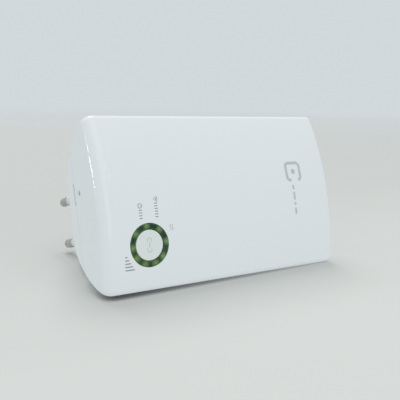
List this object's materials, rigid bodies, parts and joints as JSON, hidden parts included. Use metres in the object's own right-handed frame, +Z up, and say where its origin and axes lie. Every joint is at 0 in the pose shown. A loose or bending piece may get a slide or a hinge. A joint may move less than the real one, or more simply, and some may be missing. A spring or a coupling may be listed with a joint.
{
  "type": "wifi range extender",
  "caption": "Plug-in Wi-Fi range extender: crowned white case with a light ring around a push button, round plug pins and an Ethernet socket.",
  "frame": {"origin": "centre of the plug face, midway between the two pins", "axes": "+X to the device's right, +Y from the front face into the wall socket along the pins, +Z up the device from the button end"},
  "size_m": [0.0658, 0.0752, 0.11],
  "materials": {
    "shell": "glossy moulded white",
    "button_white": "glossy moulded white",
    "light_guide": "dark translucent green",
    "pin_insulation": "satin white",
    "pin_metal": "nickel plated",
    "screw_steel": "zinc plated",
    "tin_plate": "bright tin plate",
    "circuit_board": "green solder mask",
    "component_black": "moulded black",
    "capacitor_sleeve": "shrink sleeve",
    "winding_tape": "yellow polyester tape",
    "ferrite": "ground dark grey",
    "blue_coating": "dipped blue",
    "brown_insulation": "soft brown",
    "fuse_glass": "clear tube",
    "insulating_film": "thin film",
    "label_stock": "blank label",
    "led_lens": "tinted lens",
    "connector_white": "moulded nylon"
  },
  "bodies": {
    "case": {"front_cover": "shell", "rear_cover": "shell", "light_ring": "light_guide", "plug_pin_left": "pin_metal", "plug_pin_right": "pin_metal", "pin_sleeve_left": "pin_insulation", "pin_sleeve_right": "pin_insulation", "pin_carrier": "component_black", "live_wire": "brown_insulation", "neutral_wire": "blue_coating", "main_board": "circuit_board", "power_board": "circuit_board", "insulation_sheet": "insulating_film", "tact_switch_body": "component_black", "reset_switch_body": "component_black", "led_1": "led_lens", "led_2": "led_lens", "led_3": "led_lens", "led_4": "led_lens", "led_5": "led_lens", "led_6": "led_lens", "led_7": "led_lens", "led_8": "led_lens", "led_9": "led_lens", "shield_can": "tin_plate", "wifi_chip": "component_black", "memory_chip": "component_black", "flash_chip": "component_black", "network_transformer": "component_black", "board_link_header": "connector_white", "antenna_left": "circuit_board", "antenna_right": "circuit_board", "antenna_cable_left": "component_black", "antenna_cable_right": "component_black", "ethernet_jack": "tin_plate", "jack_contact_block": "component_black", "fuse": "fuse_glass", "common_mode_choke": "ferrite", "x_capacitor": "winding_tape", "bridge_rectifier": "component_black", "y_capacitor": "blue_coating", "bulk_capacitor_a": "capacitor_sleeve", "bulk_capacitor_b": "capacitor_sleeve", "output_capacitor": "capacitor_sleeve", "transformer_core": "ferrite", "transformer_winding": "winding_tape", "power_controller": "component_black", "case_screw_left": "screw_steel", "case_screw_right": "screw_steel", "board_screw_left": "screw_steel", "board_screw_right": "screw_steel", "rating_label": "label_stock"},
    "button": {"button_cap": "button_white", "button_stem": "button_white"},
    "tact_plunger": {"tact_switch_plunger": "connector_white"},
    "reset_plunger": {"reset_switch_plunger": "connector_white"}
  },
  "joints": [
    {"name": "button_press", "type": "slide", "parent": "case", "child": "button", "axis": [0, 1, 0], "range_m": [0, 0.0007], "stiffness_N_per_m": 1000},
    {"name": "tact_switch_press", "type": "slide", "parent": "case", "child": "tact_plunger", "axis": [0, 1, 0], "range_m": [0, 0.0007]},
    {"name": "reset_press", "type": "slide", "parent": "case", "child": "reset_plunger", "axis": [0, 0, 1], "range_m": [0, 0.0005], "stiffness_N_per_m": 1000}
  ],
  "couplings": [
    {"joint": "tact_switch_press", "follows": "button_press", "ratio": 1}
  ]
}
